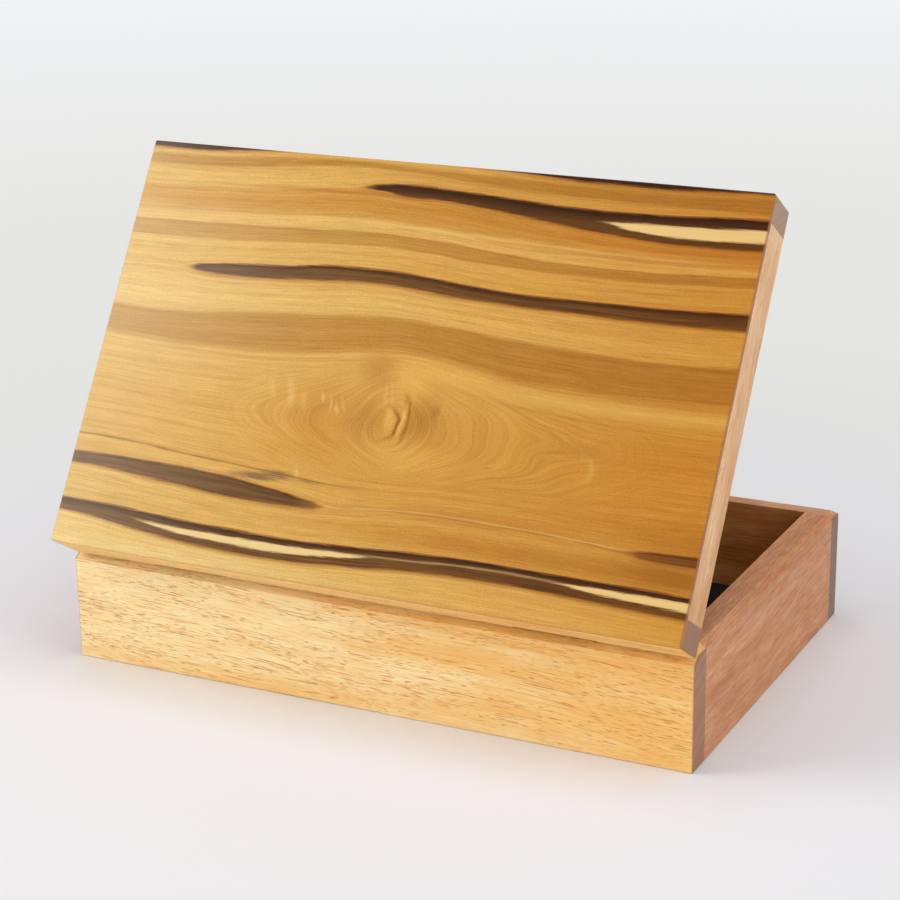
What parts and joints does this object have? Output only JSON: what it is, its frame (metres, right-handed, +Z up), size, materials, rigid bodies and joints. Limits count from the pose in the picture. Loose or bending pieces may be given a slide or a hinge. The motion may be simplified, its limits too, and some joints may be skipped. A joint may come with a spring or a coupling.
{
  "type": "hinged wooden box",
  "caption": "Rectangular timber box with a framed, figured-wood lid that swings up on concealed butt hinges over a felt-lined well.",
  "frame": {"origin": "centre of the flat underside of the bottom panel, on the plane the box stands on", "axes": "+Z up; +X along the length, to the right for someone facing the hinge side; -Y is the hinge side and +Y the opening edge"},
  "size_m": [0.3, 0.2096, 0.2251],
  "materials": {
    "base_walls": "oiled timber, satin",
    "lid_rails": "oiled timber, satin",
    "lid_panel": "figured timber, semi-gloss",
    "bottom": "plywood, oiled",
    "lining": "black felt",
    "hinge_brass": "satin brass"
  },
  "bodies": {
    "base": {"hinge_side_board": "base_walls", "front_board": "base_walls", "left_end_board": "base_walls", "right_end_board": "base_walls", "bottom_panel": "bottom", "floor_lining": "lining", "left_hinge_base_leaf": "hinge_brass", "right_hinge_base_leaf": "hinge_brass", "left_hinge_pin": "hinge_brass", "right_hinge_pin": "hinge_brass", "base_hinge_screws": "hinge_brass"},
    "lid": {"lid_hinge_rail": "lid_rails", "lid_front_rail": "lid_rails", "lid_left_end": "lid_rails", "lid_right_end": "lid_rails", "lid_top_panel": "lid_panel", "left_hinge_lid_leaf": "hinge_brass", "right_hinge_lid_leaf": "hinge_brass", "lid_hinge_screws": "hinge_brass"}
  },
  "joints": [
    {"name": "lid_hinge", "type": "hinge", "parent": "base", "child": "lid", "pos_m": [0, -0.0933, 0.053], "axis": [1, 0, 0], "range_deg": [-57.9, 67.1]}
  ]
}
